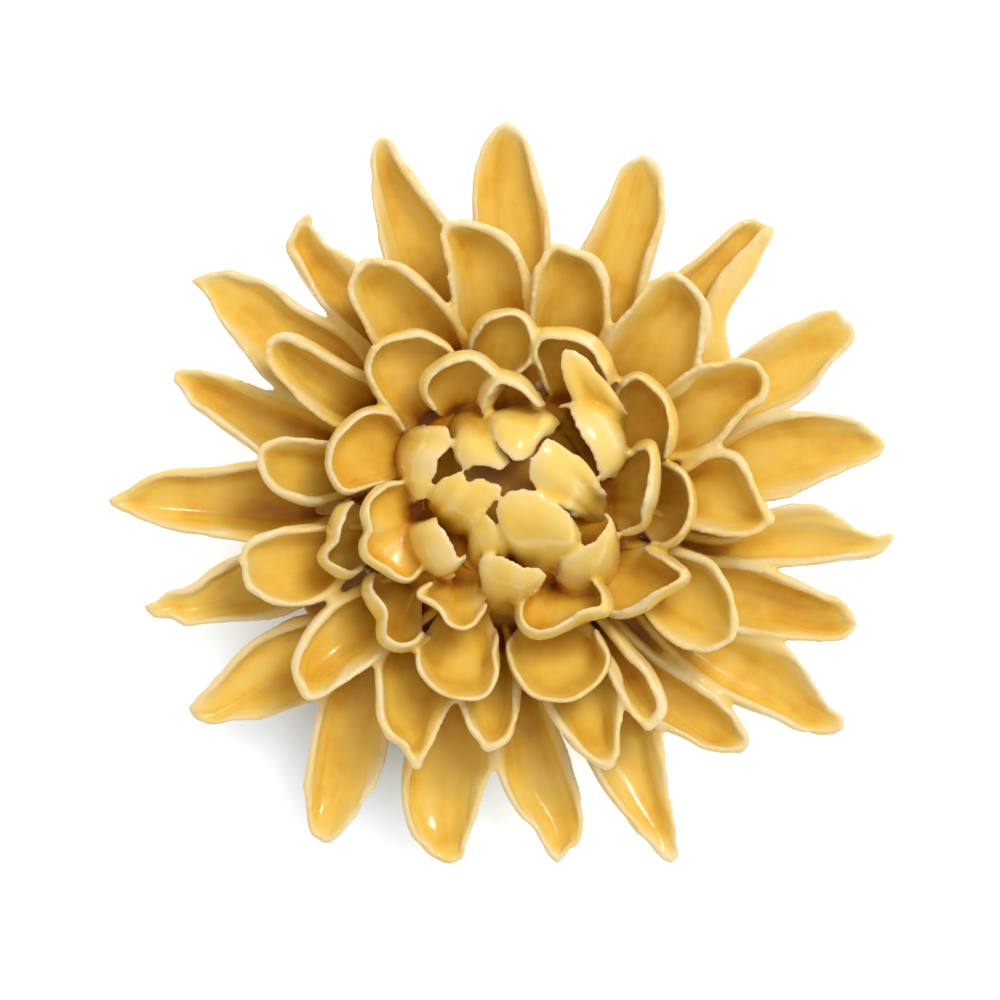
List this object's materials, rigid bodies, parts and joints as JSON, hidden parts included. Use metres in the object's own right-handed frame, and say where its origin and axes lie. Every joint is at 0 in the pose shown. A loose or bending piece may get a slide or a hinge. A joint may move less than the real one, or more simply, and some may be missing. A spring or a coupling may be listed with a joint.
{
  "type": "glazed ceramic chrysanthemum ornament",
  "caption": "Hand-built ceramic chrysanthemum head with rows of cupped petals under a mustard-yellow glaze, flat at the back so that it lies on a table.",
  "frame": {"origin": "centre of the bounding box, on the surface that the flat back lies on", "axes": "+Z out of the flower's face, +Y to the top of the picture, +X to its right"},
  "size_m": [0.1274, 0.1188, 0.0385],
  "materials": {
    "yellow_glaze": "glossy mustard-yellow glaze over pale clay, thin and cream on the rims"
  },
  "bodies": {
    "root": {"ceramic_chrysanthemum": "yellow_glaze"}
  },
  "joints": []
}
